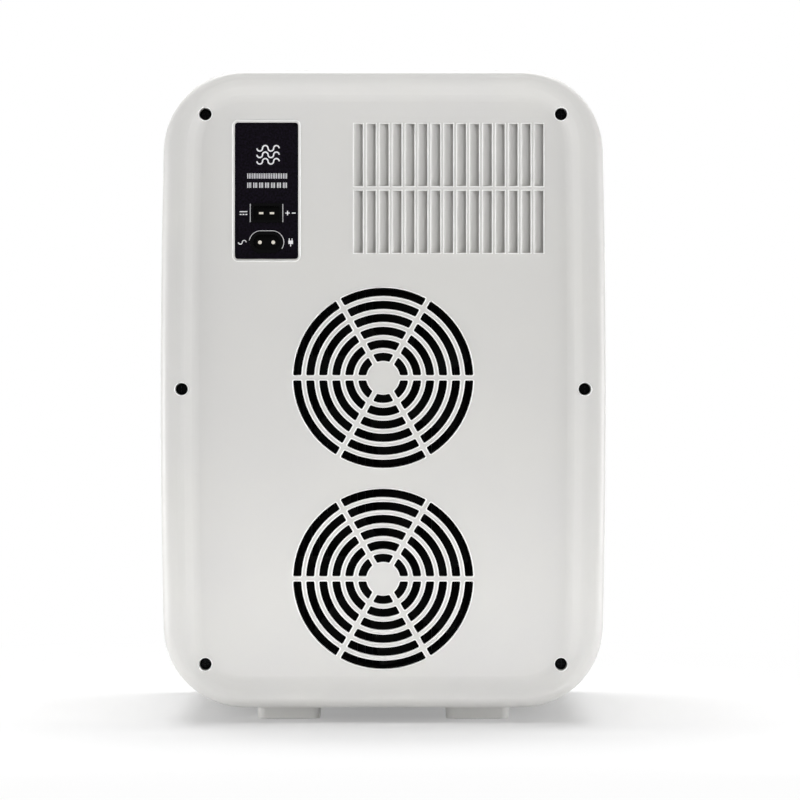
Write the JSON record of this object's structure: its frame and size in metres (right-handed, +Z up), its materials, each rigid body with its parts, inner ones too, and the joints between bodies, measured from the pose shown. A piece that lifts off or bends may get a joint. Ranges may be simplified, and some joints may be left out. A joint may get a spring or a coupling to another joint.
{
  "type": "mini fridge",
  "caption": "Free-standing thermoelectric mini fridge with a hinged insulated door, wire shelves, door racks, round rear fan grilles, louvres and a recessed inlet panel",
  "frame": {"origin": "on the floor, at the centre of the footprint", "axes": "+Z up, the door faces -Y and the rear cover faces +Y, the hinges are at +X"},
  "size_m": [0.288, 0.32, 0.422],
  "materials": {
    "shell_plastic": "satin",
    "liner_plastic": "gloss",
    "black_plastic": "satin",
    "foam": "matte",
    "sealing_foam": "matte",
    "rubber_white": "matte",
    "rubber_grey": "matte",
    "magnet": "matte",
    "steel": "satin",
    "black_steel": "satin",
    "wire_white": "gloss",
    "aluminium": "satin",
    "black_aluminium": "satin",
    "brass": "polished",
    "module_ceramic": "matte",
    "board": "satin",
    "transformer_tape": "satin",
    "capacitor_sleeve": "gloss",
    "connector": "satin",
    "wire": "satin",
    "smoked": "gloss",
    "rack_clear": "gloss",
    "button_cap": "satin"
  },
  "bodies": {
    "cabinet": {"outer_shell": "shell_plastic", "front_frame": "liner_plastic", "strike_strip": "steel", "liner_sleeve": "liner_plastic", "liner_back": "liner_plastic", "cabinet_foam": "foam", "rear_bulkhead": "black_plastic", "rear_cover": "shell_plastic", "cover_screws": "black_steel", "inlet_panel": "black_plastic", "dc_inlet": "black_plastic", "ac_inlet": "black_plastic", "inlet_pins": "brass", "hot_heatsinks": "black_aluminium", "cold_heatsinks": "aluminium", "thermoelectric_modules": "module_ceramic", "cold_blocks": "aluminium", "module_seals": "sealing_foam", "clamp_screws": "steel", "rear_fan_frames": "black_plastic", "rear_fan_screws": "black_steel", "inner_fan_frames": "black_plastic", "inner_fan_screws": "steel", "inner_fan_cover": "liner_plastic", "fan_cover_screws": "steel", "power_board": "board", "board_screws": "steel", "transformer": "transformer_tape", "capacitors": "capacitor_sleeve", "board_heatsink": "aluminium", "board_connectors": "connector", "wiring_harness": "wire", "hinge_leaves": "steel", "hinge_screws": "steel", "hinge_nut_plates": "steel", "control_panel": "black_plastic", "control_board": "board", "display_window": "smoked", "tact_switches": "black_plastic", "feet": "shell_plastic", "foot_pads": "rubber_grey", "foot_screws": "steel"},
    "power_button": {"power_button": "button_cap"},
    "mode_button": {"mode_button": "button_cap"},
    "set_button": {"set_button": "button_cap"},
    "rear_fan_lower": {"rear_fan_rotor_lower": "black_plastic"},
    "rear_fan_upper": {"rear_fan_rotor_upper": "black_plastic"},
    "inner_fan_lower": {"inner_fan_rotor_lower": "black_plastic"},
    "inner_fan_upper": {"inner_fan_rotor_upper": "black_plastic"},
    "upper_shelf": {"upper_shelf": "wire_white"},
    "lower_shelf": {"lower_shelf": "wire_white"},
    "door": {"door_outer_panel": "shell_plastic", "door_foam": "foam", "door_inner_panel": "liner_plastic", "door_gasket": "rubber_white", "gasket_magnets": "magnet", "door_handle": "button_cap", "hinge_pins": "steel"},
    "rack_upper": {"door_rack_upper": "rack_clear"},
    "rack_lower": {"door_rack_lower": "rack_clear"}
  },
  "joints": [
    {"name": "door_swing", "type": "hinge", "parent": "cabinet", "child": "door", "pos_m": [0.135, -0.124, 0.216], "axis": [0, 0, 1], "range_deg": [0, 100]},
    {"name": "rack_upper_lift", "type": "slide", "parent": "door", "child": "rack_upper", "axis": [0, 0, 1], "range_m": [0, 0.025]},
    {"name": "rack_lower_lift", "type": "slide", "parent": "door", "child": "rack_lower", "axis": [0, 0, 1], "range_m": [0, 0.025]},
    {"name": "upper_shelf_slide", "type": "slide", "parent": "cabinet", "child": "upper_shelf", "axis": [0, -1, 0], "range_m": [0, 0.01]},
    {"name": "lower_shelf_slide", "type": "slide", "parent": "cabinet", "child": "lower_shelf", "axis": [0, -1, 0], "range_m": [0, 0.01]},
    {"name": "rear_fan_lower_spin", "type": "hinge", "parent": "cabinet", "child": "rear_fan_lower", "pos_m": [0, 0.1335, 0.0933], "axis": [0, 1, 0], "continuous": true},
    {"name": "rear_fan_upper_spin", "type": "hinge", "parent": "cabinet", "child": "rear_fan_upper", "pos_m": [0, 0.1335, 0.2233], "axis": [0, 1, 0], "continuous": true},
    {"name": "inner_fan_lower_spin", "type": "hinge", "parent": "cabinet", "child": "inner_fan_lower", "pos_m": [0, 0.0375, 0.0933], "axis": [0, 1, 0], "continuous": true},
    {"name": "inner_fan_upper_spin", "type": "hinge", "parent": "cabinet", "child": "inner_fan_upper", "pos_m": [0, 0.0375, 0.2233], "axis": [0, 1, 0], "continuous": true},
    {"name": "power_button_press", "type": "slide", "parent": "cabinet", "child": "power_button", "axis": [0, 0, -1], "range_m": [0, 0.0008], "stiffness_N_per_m": 400, "springref_m": -0.0003},
    {"name": "mode_button_press", "type": "slide", "parent": "cabinet", "child": "mode_button", "axis": [0, 0, -1], "range_m": [0, 0.0008], "stiffness_N_per_m": 400, "springref_m": -0.0003},
    {"name": "set_button_press", "type": "slide", "parent": "cabinet", "child": "set_button", "axis": [0, 0, -1], "range_m": [0, 0.0008], "stiffness_N_per_m": 400, "springref_m": -0.0003}
  ]
}
